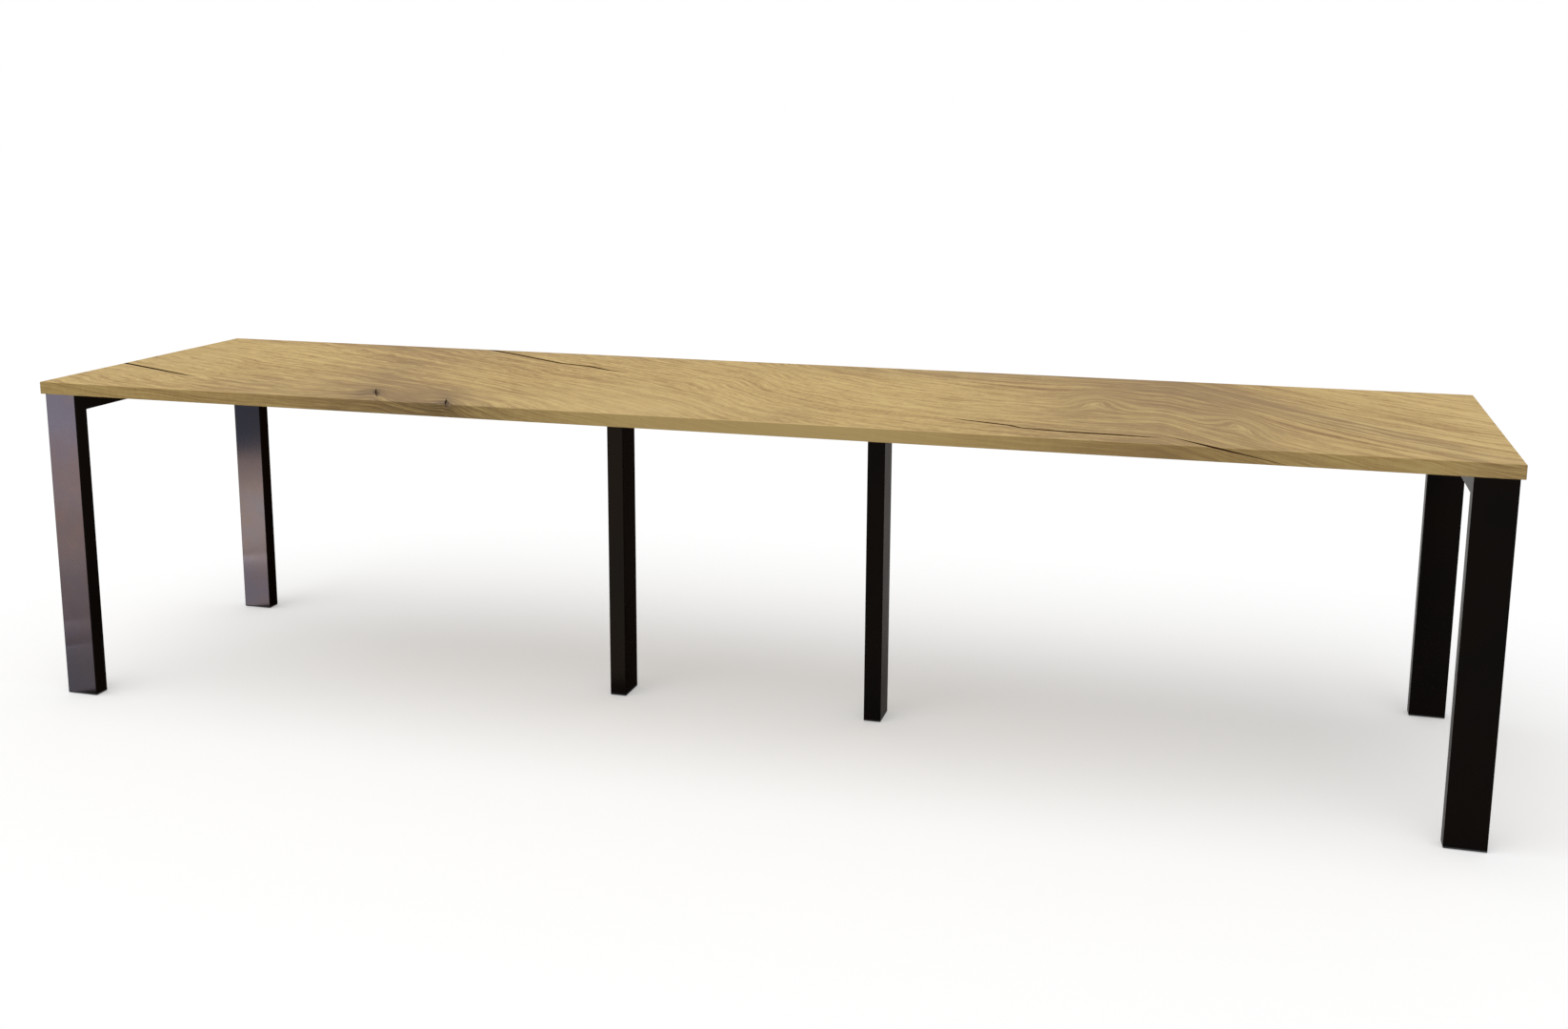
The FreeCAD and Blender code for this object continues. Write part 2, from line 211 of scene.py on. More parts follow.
class Surface(Graph):
    """The graph of a new material, which ends in a Principled shader."""

    def __init__(self, name: str) -> None:
        """Start the material.

        Args:
            name: Its name.
        """
        self.material = bpy.data.materials.new(name)
        self.material.use_nodes = True
        super().__init__(self.material.node_tree)

    def place(self) -> Socket:
        """Read where a surface point is on the table."""
        return self.add("TexCoord").outputs["Object"]

    def bump(self, height: Socket, relief: Relief) -> Socket:
        """Raise a bump and return the surface's new normal."""
        feeds = {"Strength": relief.strength, "Distance": relief.depth, "Height": height}
        return self.add("Bump", feeds).outputs["Normal"]

    def finish(self, feeds: Feeds) -> Material:
        """Fill the shader's inputs and return the material."""
        self.feed(self.tree.nodes["Principled BSDF"], feeds)
        return self.material


class EffectGraph(Graph):
    """The graph of a shared effect: a node group that reads a place and some values, and gives values."""

    def __init__(self, effect: Effect, *takes: str) -> None:
        """Start the group.

        Args:
            effect: The effect.
            takes: The names of the values that it reads besides the place.
        """
        super().__init__(bpy.data.node_groups.new(effect.value, "ShaderNodeTree"))
        self.tree.interface.new_socket(name="Place", in_out="INPUT", socket_type="NodeSocketVector")
        for name in takes:
            self.tree.interface.new_socket(name=name, in_out="INPUT", socket_type="NodeSocketFloat")
        self.read = self.tree.nodes.new("NodeGroupInput").outputs

    def give(self, **results: Socket) -> None:
        """End the group.

        Args:
            results: What it gives, by name.
        """
        for name in results:
            self.tree.interface.new_socket(name=name, in_out="OUTPUT", socket_type="NodeSocketFloat")
        self.feed(self.tree.nodes.new("NodeGroupOutput"), results)


def build_skin() -> None:
    """Build the fine pebbled skin of sprayed and moulded surfaces."""
    graph = EffectGraph(Effect.SKIN, "Grains per metre")
    feeds = {"Vector": graph.read[0], "Scale": graph.read[1]}
    pebbles = graph.add("TexVoronoi", feeds, feature="SMOOTH_F1").outputs["Distance"]
    lumps = graph.noise(graph.read[0], graph.read[1], 3.0)
    graph.give(Height=graph.weighted((pebbles, -0.6), (lumps, 1.0)), Tone=graph.fade(lumps, 0.3, 0.7))


def build_handling() -> None:
    """Build the uneven shine that handling and wiping leave."""
    graph = EffectGraph(Effect.HANDLING, "Shiny", "Dull")
    place, shiny, dull = graph.read[:3]
    broad, close = graph.noise(place, 3.5, 3.0), graph.noise(place, 42.0, 4.0, 0.6)
    wear = graph.weighted((broad, 0.6), (close, 0.4))
    feeds = {"Value": wear, "From Min": 0.3, "From Max": 0.7, "To Min": shiny, "To Max": dull}
    graph.give(Roughness=graph.add("MapRange", feeds).outputs["Result"])


def build_oval() -> None:
    """Build the soft oval, which fades from its strength in the middle to nothing outside it."""
    names = ("Centre X", "Centre Y", "Half length", "Half width", "Strength", "Slant")
    graph = EffectGraph(Effect.OVAL, *names)
    place, centre_x, centre_y, half_length, half_width, strength, slant = graph.read[:7]
    x, y, _ = graph.apart(place)
    back = graph.math("SUBTRACT", y, centre_y)
    right = graph.math("SUBTRACT", graph.math("SUBTRACT", x, centre_x), graph.times(back, slant))
    along = graph.math("POWER", graph.math("DIVIDE", right, half_length), 2.0)
    across = graph.math("POWER", graph.math("DIVIDE", back, half_width), 2.0)
    fall = graph.math("EXPONENT", graph.times(graph.math("ADD", along, across), -1.0))
    graph.give(Cover=graph.times(fall, strength))


@dataclass(frozen=True)
class Mark:
    """A soft oval mark on the slab, with its fields in the order of the oval effect's inputs.

    It has its centre and half sizes in plan, its strength in the middle, and its slant, which is how far it
    moves along the table for each metre towards the back.
    """

    x: float
    y: float
    half_length: float
    half_width: float
    strength: float
    slant: float = 0.0

    def cover(self, graph: Graph, place: Socket) -> Socket:
        """Read the mark's strength at a place."""
        return graph.effect(Effect.OVAL, place, *astuple(self))[0]


@dataclass(frozen=True)
class Layer:
    """Marks of one colour."""

    colour: Colour
    marks: tuple[Mark, ...]

    def over(self, graph: Graph, below: Socket, place: Socket, share: Feed = 1.0) -> Socket:
        """Lay the marks over a colour.

        Args:
            graph: The material's graph.
            below: The colour below.
            place: Where the marks are read.
            share: How much of them the grain lets show.

        Returns:
            The colour with the marks.
        """
        for mark in self.marks:
            below = graph.blend(graph.times(mark.cover(graph, place), share), below, self.colour)
        return below


@dataclass(frozen=True)
class Pattern:
    """A noise pattern: its lumps in a metre along X, Y and Z, its finer octaves, and where it fades in."""

    per_metre: tuple[float, float, float]
    detail: float
    roughness: float = 0.5
    edge: Fade = ()

    def read(self, graph: Graph, place: Socket) -> Socket:
        """Read the pattern.

        Args:
            graph: The material's graph.
            place: Where it is read.

        Returns:
            A value about one half, or from 0 to 1 across the pattern's edge.
        """
        scaled = graph.add("Mapping", {"Vector": place, "Scale": self.per_metre}).outputs[0]
        value = graph.noise(scaled, 1.0, self.detail, self.roughness)
        return graph.fade(value, *self.edge) if self.edge else value


@dataclass(frozen=True)
class Grain:
    """What the oak's shader knows of a point: its place on the figure and in the fibres, and its streaks."""

    place: Socket
    fibre: Socket
    x: Socket
    line: Socket
    streaks: Socket
    fine: Socket
    pits: Socket


@dataclass(frozen=True)
class OakFinish:
    """Brushed and oiled wild oak.

    Its grain runs from the back of the left end to the front of the right end, and rises round the knots.
    Near the right end the figure folds over, as where two halves of one log meet. Every mark but the pale
    right end lies on the unfolded figure.
    """

    length: float
    width: float
    fold_x: float = 0.94
    fold_shear: float = 1.25
    fold_ease: float = 0.02
    drift: float = 1.29
    drift_shares: tuple[tuple[float, float], ...] = (
        (0.0, 0.0), (0.138, 0.122), (0.256, 0.227), (0.433, 0.418),
        (0.591, 0.62), (0.689, 0.813), (0.827, 0.949), (1.0, 1.0),
    )
    lean: float = 4.3
    wander: Pattern = Pattern((1.3, 2.6, 2.6), 2.0)
    wander_reach: float = 0.12
    ripple: Pattern = Pattern((8.0, 11.0, 11.0), 3.0)
    ripple_reach: float = 0.045
    rises: tuple[Mark, ...] = (
        Mark(-0.69, -0.42, 0.3, 0.23, 0.15),
        Mark(-0.78, -0.305, 0.04, 0.08, 0.06, -0.5),
        Mark(-0.58, -0.365, 0.04, 0.07, 0.06, -0.5),
        Mark(0.79, 0.09, 0.062, 0.13, 0.11),
    )

    streaks: Pattern = Pattern((3.6, 34.0, 8.0), 4.0, 0.66)
    fine: Pattern = Pattern((16.0, 150.0, 30.0), 4.0, 0.7)
    pores: Pattern = Pattern((34.0, 900.0, 160.0), 1.0, edge=(0.60, 0.68))
    broad: Pattern = Pattern((0.5, 5.0, 2.0), 3.0)
    rays: Pattern = Pattern((120.0, 34.0, 60.0), 2.0, 0.6)
    ring: float = 0.030
    ring_stray: float = 1.6
    band_line: float = 4.83
    band_width: float = 0.120
    band_start: Fade = (0.30, 0.65)
    band_breaks: Fade = (0.36, 0.58)
    flame: Mark = Mark(0.8, 0.08, 0.11, 0.12, 0.6)
    broad_weight: float = 0.60
    streak_weight: float = 1.25
    fine_weight: float = 1.15
    ring_weight: float = 0.17
    ray_weight: float = 0.38
    band_weight: float = 0.28
    flame_weight: float = -0.7
    tone_base: float = -1.435
    tones: tuple[tuple[float, Colour], ...] = (
        (0.10, paint(209, 181, 121)),
        (0.40, paint(189, 159, 105)),
        (0.65, paint(166, 135, 87)),
        (0.95, paint(128, 98, 62)),
    )

    pit_cover: float = 0.50
    pit_colour: Colour = paint(104, 78, 47)
    stain_streaks: Fade = (0.34, 0.60, 0.45, 1.25)
    stain_flecks: Fade = (0.36, 0.58, 0.65, 1.15)
    stains: Layer = Layer(paint(146, 119, 84), (
        Mark(-0.9, 0.08, 0.17, 0.42, 0.48, -0.15),
        Mark(-0.72, -0.34, 0.23, 0.15, 0.85),
        Mark(-0.84, -0.15, 0.04, 0.14, 0.45, -0.4),
        Mark(-0.63, -0.27, 0.045, 0.12, 0.45, -0.4),
        Mark(0.93, 0.33, 0.19, 0.33, 0.75),
        Mark(0.85, 0.0, 0.28, 0.7, 0.55),
        Mark(0.9, -0.4, 0.13, 0.18, 0.45),
        Mark(0.45, 0.38, 0.38, 0.1, 0.65),
        Mark(0.18, -0.33, 0.06, 0.11, 0.3),
        Mark(0.94, 0.0, 0.014, 0.6, 0.5),
        Mark(-0.72, -0.22, 0.075, 0.19, 0.5, -1.2),
        Mark(-1.1, -0.27, 0.16, 0.13, 0.45),
        Mark(0.92, -0.37, 0.07, 0.07, 0.5),
        Mark(0.78, 0.38, 0.22, 0.06, 0.65),
        Mark(-1.06, 0.37, 0.16, 0.08, 0.45),
        Mark(0.91, 0.13, 0.05, 0.26, 0.35),
        Mark(-0.9, -0.22, 0.08, 0.07, 0.45),
        Mark(-0.8, 0.4, 0.7, 0.06, 0.35),
    ))
    pales: Layer = Layer(paint(208, 181, 125), (
        Mark(-0.15, -0.3, 0.24, 0.16, 0.55),
        Mark(-0.28, -0.06, 0.12, 0.11, 0.35),
        Mark(-1.48, 0.0, 0.12, 0.24, 0.35),
        Mark(0.25, -0.4, 0.38, 0.008, 0.85),
    ))
    knot_flecks: Fade = (0.36, 0.56)
    knots: Layer = Layer(paint(78, 66, 57), (
        Mark(-0.8, -0.318, 0.03, 0.052, 0.6, -0.3),
        Mark(-0.783, -0.303, 0.016, 0.064, 0.6, -0.57),
        Mark(-0.58, -0.363, 0.02, 0.06, 0.65, -0.46),
        Mark(-0.575, -0.395, 0.04, 0.03, 0.55),
        Mark(-0.61, -0.4, 0.22, 0.01, 0.6),
    ))
    pale_streaks: Fade = (0.58, 0.38, 0.1, 1.4)
    right_end: Layer = Layer(paint(208, 181, 125), (Mark(1.58, 0.0, 0.27, 0.6, 0.62),))

    arris: float = 0.0011
    side_cover: float = 0.38
    side_colour: Colour = paint(120, 97, 52)
    end_cover: float = 0.50
    end_colour: Colour = paint(112, 84, 50)
    polish: Fade = (0.3, 0.7, 0.55, 0.68)
    fine_height: float = 0.6
    pit_height: float = -0.5
    relief: Relief = Relief(0.25, 0.0006)
    reflection: float = 0.05

    def folded(self, graph: Graph, place: Socket) -> list[Socket]:
        """Fold the figure over near the right end.

        Args:
            graph: The material's graph.
            place: Place on the table.

        Returns:
            X, Y and Z on the unfolded figure.
        """
        x, y, z = graph.apart(place)
        past = graph.math("SMOOTH_MAX", graph.math("SUBTRACT", x, self.fold_x), 0.0, self.fold_ease)
        along = graph.math("SUBTRACT", x, graph.times(past, 2.0))
        across = graph.math("ADD", y, graph.times(past, self.fold_shear))
        return [along, across, z]

    def drifted(self, graph: Graph, x: Socket) -> Socket:
        """Find how far the grain has drifted to the front at a place along the table.

        Args:
            graph: The material's graph.
            x: Place along the unfolded figure.

        Returns:
            The share of the whole drift.
        """
        left = -self.length / 2
        share = graph.math("DIVIDE", graph.math("SUBTRACT", x, left), self.fold_x - left)
        curve = graph.add("FloatCurve", {"Value": share})
        points = curve.mapping.curves[0].points
        while len(points) < len(self.drift_shares):
            points.new(0.5, 0.5)
        for point, place in zip(points, self.drift_shares):
            point.location = place
        curve.mapping.update()
        return curve.outputs[0]

    def grain(self, graph: Graph, table: Socket) -> Grain:
        """Find the grain line that a point lies on, and the streaks there.

        Args:
            graph: The material's graph.
            table: Place on the table.

        Returns:
            The grain at that point.
        """
        x, y, z = self.folded(graph, table)
        place = graph.vector(x, y, z)
        line = graph.weighted(
            (y, 1.0),
            (self.drifted(graph, x), self.drift),
            (z, self.lean),
            (self.wander.read(graph, place), self.wander_reach),
            (self.ripple.read(graph, place), self.ripple_reach),
        )
        for rise in self.rises:
            line = graph.math("SUBTRACT", line, rise.cover(graph, place))
        fibre = graph.vector(x, line, z)
        patterns = (self.streaks, self.fine, self.pores)
        return Grain(place, fibre, x, line, *[pattern.read(graph, fibre) for pattern in patterns])

    def tone(self, graph: Graph, grain: Grain) -> Socket:
        """Find how dark the grown wood is, from its rings, its streaks and the dark band in its right half.

        Args:
            graph: The material's graph.
            grain: The grain at the point.

        Returns:
            The tone, from 0, pale, to 1, dark.
        """
        stray = graph.times(grain.streaks, self.ring_stray)
        turn = graph.math("ADD", graph.math("DIVIDE", grain.line, self.ring), stray)
        wave = graph.math("SINE", graph.times(turn, math.tau))
        rings = graph.math("POWER", graph.fade(wave, -1.0, 1.0), 2.0)
        pale = graph.math("POWER", graph.fade(wave, 1.0, -1.0), 3.0)
        away = graph.math("ABSOLUTE", graph.math("SUBTRACT", grain.line, self.band_line))
        band = graph.times(graph.fade(away, self.band_width, 0.0), graph.fade(grain.x, *self.band_start))
        mixed = graph.weighted(
            (self.broad.read(graph, grain.fibre), self.broad_weight),
            (grain.streaks, self.streak_weight),
            (grain.fine, self.fine_weight),
            (rings, self.ring_weight),
            (self.rays.read(graph, grain.place), self.ray_weight),
            (graph.times(band, graph.fade(grain.streaks, *self.band_breaks)), self.band_weight),
            (graph.times(pale, self.flame.cover(graph, grain.place)), self.flame_weight),
        )
        return graph.math("ADD", mixed, self.tone_base)

    def marked(self, graph: Graph, grain: Grain, colour: Socket) -> Socket:
        """Lay the pores, the grey stains, the pale patches and the knots over the wood.

        Args:
            graph: The material's graph.
            grain: The grain at the point.
            colour: The grown wood's colour.

        Returns:
            The colour with its marks.
        """
        colour = graph.blend(graph.times(grain.pits, self.pit_cover), colour, self.pit_colour)
        patchy = graph.times(
            graph.fade(grain.streaks, *self.stain_streaks), graph.fade(grain.fine, *self.stain_flecks))
        colour = self.stains.over(graph, colour, grain.place, patchy)
        colour = self.pales.over(graph, colour, grain.place)
        return self.knots.over(graph, colour, grain.place, graph.fade(grain.fine, *self.knot_flecks))

    def sawn(self, graph: Graph, table: Socket, colour: Socket) -> Socket:
        """Darken the sawn edges and ends over their whole faces, giving them colours of their own that are
        darker than the top.

        Args:
            graph: The material's graph.
            table: Place on the table.
            colour: The wood's colour.

        Returns:
            The colour with its edges.
        """
        x, y, _ = graph.apart(table)
        for part, size, cover, edge in (
            (y, self.width, self.side_cover, self.side_colour),
            (x, self.length, self.end_cover, self.end_colour),
        ):
            start = size / 2 - self.arris
            outside = graph.fade(graph.math("ABSOLUTE", part), start, start + self.arris / 2)
            colour = graph.blend(graph.times(outside, cover), colour, edge)
        return colour

    def material(self) -> Material:
        """Build the oak.

        Returns:
            The material.
        """
        surface = Surface("brushed_oak")
        table = surface.place()
        grain = self.grain(surface, table)
        grown = surface.ramp(self.tone(surface, grain), self.tones)
        marked = self.marked(surface, grain, grown)
        between = surface.fade(grain.streaks, *self.pale_streaks)
        height = surface.weighted((grain.fine, self.fine_height), (grain.pits, self.pit_height))
        return surface.finish({
            "Base Color": self.sawn(surface, table, self.right_end.over(surface, marked, table, between)),
            "Roughness": surface.fade(grain.fine, *self.polish),
            "Normal": surface.bump(height, self.relief),
            "Specular IOR Level": self.reflection,
        })


@dataclass(frozen=True)
class Finish:
    """A finish of two mingled colours, with the uneven shine that handling leaves."""

    name: str
    colour: Colour
    other: Colour
    shiny: float
    dull: float
    relief: Relief
    reflection: float = 0.5
    metallic: float = 0.0
    edge_tint: Colour = WHITE

    def look(self, surface: Surface, place: Socket) -> Look:
        """Find a point's colour and height, which each kind of finish does in its own way."""
        raise NotImplementedError

    def material(self) -> Material:
        """Build the finish.

        Returns:
            The material.
        """
        surface = Surface(self.name)
        place = surface.place()
        colour, height = self.look(surface, place)
        return surface.finish({
            "Base Color": colour,
            "Roughness": surface.effect(Effect.HANDLING, place, self.shiny, self.dull)[0],
            "Normal": surface.bump(height, self.relief),
            "Metallic": self.metallic,
            "Specular IOR Level": self.reflection,
            "Specular Tint": self.edge_tint,
        })


@dataclass(frozen=True)
class SprayedFinish(Finish):
    """Powder coat, or moulded plastic: a plain colour with a fine pebbled skin."""

    grains_per_metre: float = 700.0

    def look(self, surface: Surface, place: Socket) -> Look:
        """Read the skin."""
        height, tone = surface.effect(Effect.SKIN, place, self.grains_per_metre)
        return (surface.blend(tone, self.colour, self.other), height)


@dataclass(frozen=True)
class BlackenedFinish(Finish):
    """Blackened and waxed steel: nearly black, clouded from brown to blue, with a satin sheen."""

    name: str = "blackened_steel"
    colour: Colour = paint(19, 15, 12)
    other: Colour = paint(17, 15, 14)
    shiny: float = 0.25
    dull: float = 0.31
    relief: Relief = Relief(0.3, 0.00003)
    metallic: float = 1.0
    edge_tint: Colour = (0.445, 0.430, 0.420, 1.0)
    clouds: Pattern = Pattern((4.0, 4.0, 4.0), 4.0, 0.6, (0.35, 0.65))
    grains_per_metre: float = 900.0

    def look(self, surface: Surface, place: Socket) -> Look:
        """Read the clouds and the fine skin."""
        height, _ = surface.effect(Effect.SKIN, place, self.grains_per_metre)
        return (surface.blend(self.clouds.read(surface, place), self.colour, self.other), height)


@dataclass(frozen=True)
class MetalFinish(Finish):
    """Bare or plated metal with turning marks round its axis."""

    relief: Relief = Relief(0.2, 0.0001)
    metallic: float = 1.0
    clouds: Pattern = Pattern((160.0, 160.0, 160.0), 3.0)
    turning: Pattern = Pattern((60.0, 60.0, 2600.0), 2.0)

    def look(self, surface: Surface, place: Socket) -> Look:
        """Read the clouds and the turning marks."""
        clouds = self.clouds.read(surface, place)
        return (surface.blend(clouds, self.colour, self.other), self.turning.read(surface, place))


@dataclass(frozen=True)
class FillingFinish(Finish):
    """Dark resin filling, rubbed back with the oak, so it is dull with fine scratches and brown flecks."""

    name: str = "dark_filling"
    colour: Colour = paint(50, 30, 19)
    other: Colour = paint(82, 54, 36)
    shiny: float = 0.62
    dull: float = 0.85
    relief: Relief = Relief(0.15, 0.0002)
    reflection: float = 0.0
    flecks: Pattern = Pattern((420.0, 420.0, 420.0), 3.0, edge=(0.50, 0.70))
    scratches: Pattern = Pattern((40.0, 1500.0, 40.0), 1.0)

    def look(self, surface: Surface, place: Socket) -> Look:
        """Read the flecks and the scratches."""
        flecks = self.flecks.read(surface, place)
        return (surface.blend(flecks, self.colour, self.other), self.scratches.read(surface, place))


@dataclass(frozen=True)
class KnotFinish(Finish):
    """Grey-brown knot wood with a dark check along its middle, rubbed back with the oak."""

    name: str = "knot_wood"
    colour: Colour = paint(106, 89, 72)
    other: Colour = paint(134, 111, 85)
    shiny: float = 0.60
    dull: float = 0.80
    relief: Relief = Relief(0.3, 0.0003)
    reflection: float = 0.0
    flecks: Pattern = Pattern((130.0, 130.0, 130.0), 3.0)
    fleck_edge: Fade = (0.42, 0.66)
    checks: tuple[Mark, ...] = (
        Mark(-0.783, -0.303, 0.002, 0.048, 1.0, -0.57),
        Mark(-0.58, -0.363, 0.002, 0.06, 1.0, -0.46),
    )
    check_edge: Fade = (0.25, 0.60)
    check_colour: Colour = paint(38, 32, 29)

    def look(self, surface: Surface, place: Socket) -> Look:
        """Read the flecks, and draw the checks over them.

        Args:
            surface: The material's graph.
            place: Place on the table.

        Returns:
            The colour, and the flecks' height.
        """
        flecks = self.flecks.read(surface, place)
        colour = surface.blend(surface.fade(flecks, *self.fleck_edge), self.colour, self.other)
        for check in self.checks:
            cover = surface.fade(check.cover(surface, place), *self.check_edge)
            colour = surface.blend(cover, colour, self.check_colour)
        return (colour, flecks)


class Slot(Enum):
    """The record's material slots."""

    OAK = "oak"
    RESIN = "resin"
    KNOT = "knot"
    FRAME = "frame_steel"
    CHANNEL = "channel_steel"
    ZINC = "zinc_steel"
    BRASS = "brass"
    PLASTIC = "black_plastic"
    NYLON = "nylon"


Palette = dict[Slot, Material]


def mix_palette() -> Palette:
    """Build every finish of the table.

    Returns:
        The materials by slot.
    """
    low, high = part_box("oak_top")
    finishes = {
        Slot.OAK: OakFinish(high.x - low.x, high.y - low.y),
        Slot.RESIN: FillingFinish(),
        Slot.KNOT: KnotFinish(),
        Slot.FRAME: BlackenedFinish(),
        Slot.CHANNEL: SprayedFinish(
            "matt_channel_coat", paint(24, 24, 25), paint(34, 34, 35), shiny=0.55, dull=0.70,
            grains_per_metre=700.0, relief=Relief(0.3, 0.0002), reflection=0.25,
        ),
        Slot.ZINC: MetalFinish(
            "zinc_plate", paint(196, 198, 202), paint(178, 176, 160), shiny=0.24, dull=0.42),
        Slot.BRASS: MetalFinish(
            "turned_brass", paint(204, 168, 92), paint(178, 138, 70), shiny=0.22, dull=0.38),
        Slot.PLASTIC: SprayedFinish(
            "moulded_plastic", paint(26, 26, 27), paint(36, 36, 37), shiny=0.50, dull=0.62,
            grains_per_metre=2200.0, relief=Relief(0.3, 0.0001), reflection=0.4,
        ),
        Slot.NYLON: SprayedFinish(
            "smooth_nylon", paint(40, 40, 41), paint(50, 50, 51), shiny=0.34, dull=0.48,
            grains_per_metre=400.0, relief=Relief(0.3, 0.00005), reflection=0.45,
        ),
    }
    return {slot: finish.material() for slot, finish in finishes.items()}


def dress(piece: Piece, material: Material) -> None:
    """Give a piece one material all over."""
    piece.data.materials.clear()
    piece.data.materials.append(material)


class Bench:
    """Steps of hand modelling. Each works on the piece that was added last, with nothing else selected."""

    @staticmethod
    def clear() -> None:
        """Deselect everything, so that an operator touches only what is added next."""
        bpy.ops.object.select_all(action="DESELECT")

    @staticmethod
    def settle(name: str) -> Piece:
        """Name the piece just added and put its place into its mesh.

        Args:
            name: The piece's name.

        Returns:
            The piece.
        """
        piece = bpy.context.object
        piece.name = name
        bpy.ops.object.transform_apply(location=True, rotation=True, scale=True)
        return piece

    @staticmethod
    def edit() -> None:
        """Open the piece in edit mode with all of it selected."""
        bpy.ops.object.mode_set(mode="EDIT")
        bpy.ops.mesh.select_all(action="SELECT")

    @staticmethod
    def close() -> None:
        """Go back to object mode."""
        bpy.ops.object.mode_set(mode="OBJECT")

    @staticmethod
    def trim(place: tuple[float, float, float], away: tuple[float, float, float]) -> None:
        """Saw the open piece off flat at a place, take off what lies away from it, and close the cut."""
        bpy.ops.mesh.select_all(action="SELECT")
        bpy.ops.mesh.bisect(plane_co=place, plane_no=away, use_fill=True, clear_outer=True)

    @staticmethod
    def apply(piece: Piece, kind: str, **settings: object) -> None:
        """Add a modifier with its settings and apply it.

        Args:
            piece: The active piece, in object mode.
            kind: The modifier's type.
            settings: Its properties.
        """
        bpy.ops.object.modifier_add(type=kind)
        modifier = piece.modifiers[-1]
        for name, value in settings.items():
            setattr(modifier, name, value)
        bpy.ops.object.modifier_apply(modifier=modifier.name)

    @staticmethod
    def combine(piece: Piece, tool: Piece, operation: str) -> None:
        """Join a second closed shape to a piece, or cut it out, and throw the second shape away.

        Args:
            piece: The piece that stays.
            tool: The second shape.
            operation: UNION or DIFFERENCE.
        """
        Bench.clear()
        piece.select_set(True)
        bpy.context.view_layer.objects.active = piece
        Bench.apply(piece, "BOOLEAN", operation=operation, object=tool, solver="EXACT")
        bpy.data.objects.remove(tool, do_unlink=True)

    @staticmethod
    def copy(piece: Piece, name: str, place: Vector, turn: float = 0.0) -> Piece:
        """Copy a piece that was modelled at the origin, with its new place and turn in its own mesh.

        Args:
            piece: The model.
            name: The copy's name.
            place: Where the model's origin goes.
            turn: Turn about the upright axis, in radians.

        Returns:
            The copy.
        """
        made = piece.copy()
        made.name = name
        made.data = piece.data.copy()
        made.data.transform(Matrix.Translation(place) @ Matrix.Rotation(turn, 4, "Z"))
        bpy.context.scene.collection.objects.link(made)
        return made


@dataclass
class Workshop:
    """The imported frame's nodes, their slots and the finishes, which every sub-assembly is dressed from."""

    nodes: dict[str, Piece]
    slots: dict[str, Slot]
    palette: Palette

    def dress_nodes(self, *names: str) -> None:
        """Give CAD nodes the finishes of their slots.

        Args:
            names: The nodes.
        """
        for name in names:
            dress(self.nodes[name], self.palette[self.slots[name]])
            LOG.info("dressed %s", name)

    def fit(self, piece: Piece, body: str, slot: Slot) -> None:
        """Dress a new piece and let it ride on a body.

        Args:
            piece: The new piece.
            body: The body that carries it.
            slot: The slot of its finish.
        """
        dress(piece, self.palette[slot])
        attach(piece, body)
        LOG.info("built %s on %s", piece.name, body)


@dataclass
class OakTop:
    """The slab, with the dark filling in its cracks and knots."""

    shop: Workshop
    pieces: tuple[str, ...] = ("oak_top", "crack_filling", "knot_filling")

    def build(self) -> None:
        """Dress the slab and its filling."""
        self.shop.dress_nodes(*self.pieces)


@dataclass
class Underside:
    """What holds the slab flat and fastens it to the frames: channels, screws, inserts, bolts and caps."""

    shop: Workshop
    channel_count: int = 4
    fasteners: tuple[str, ...] = (
        "stiffener_screws", "threaded_inserts", "frame_washers", "frame_bolts", "access_hole_caps",
    )

    def build(self) -> None:
        """Dress the channels and the fasteners."""
        self.shop.dress_nodes(*[f"stiffener_{number}" for number in range(1, self.channel_count + 1)])
        self.shop.dress_nodes(*self.fasteners)


@dataclass
class WeldBead:
    """A rippled bead of weld along X, in the corner between a wall on its front side and a wall above it."""

    length: float
    leg: float = 0.0042
    lens_half_length: float = 0.0026
    lens_segments: int = 20
    lens_rings: int = 12
    lens_tilt_degrees: float = 18.0
    ripple_pitch: float = 0.0023
    voxel: float = 0.0005
    smooth_degrees: float = 50.0

    def model(self) -> Piece:
        """Build the bead at the origin, from a row of lens-shaped pools that run into each other.

        Returns:
            The bead.
        """
        count = round((self.length - 2 * self.lens_half_length) / self.ripple_pitch) + 1
        start = (1 - count) * self.ripple_pitch / 2
        flat = (self.lens_half_length / self.leg, 1.0, 1.0)
        tilt = math.radians(self.lens_tilt_degrees)
        Bench.clear()
        bpy.ops.mesh.primitive_uv_sphere_add(
            segments=self.lens_segments, ring_count=self.lens_rings, radius=self.leg)
        bead = Bench.settle("weld_bead")
        Bench.edit()
        bpy.ops.transform.resize(value=flat, center_override=ORIGIN)
        bpy.ops.transform.rotate(value=tilt, orient_axis="Z", center_override=ORIGIN)
        bpy.ops.transform.translate(value=(start, 0.0, 0.0))
        Bench.close()
        Bench.apply(
            bead, "ARRAY", count=count, use_relative_offset=False, use_constant_offset=True,
            constant_offset_displace=(self.ripple_pitch, 0.0, 0.0),
        )
        Bench.apply(bead, "REMESH", mode="VOXEL", voxel_size=self.voxel)
        Bench.edit()
        Bench.trim(ORIGIN, FRONT)
        Bench.trim(ORIGIN, UP)
        Bench.close()
        bpy.ops.object.shade_smooth_by_angle(angle=math.radians(self.smooth_degrees))
        return bead


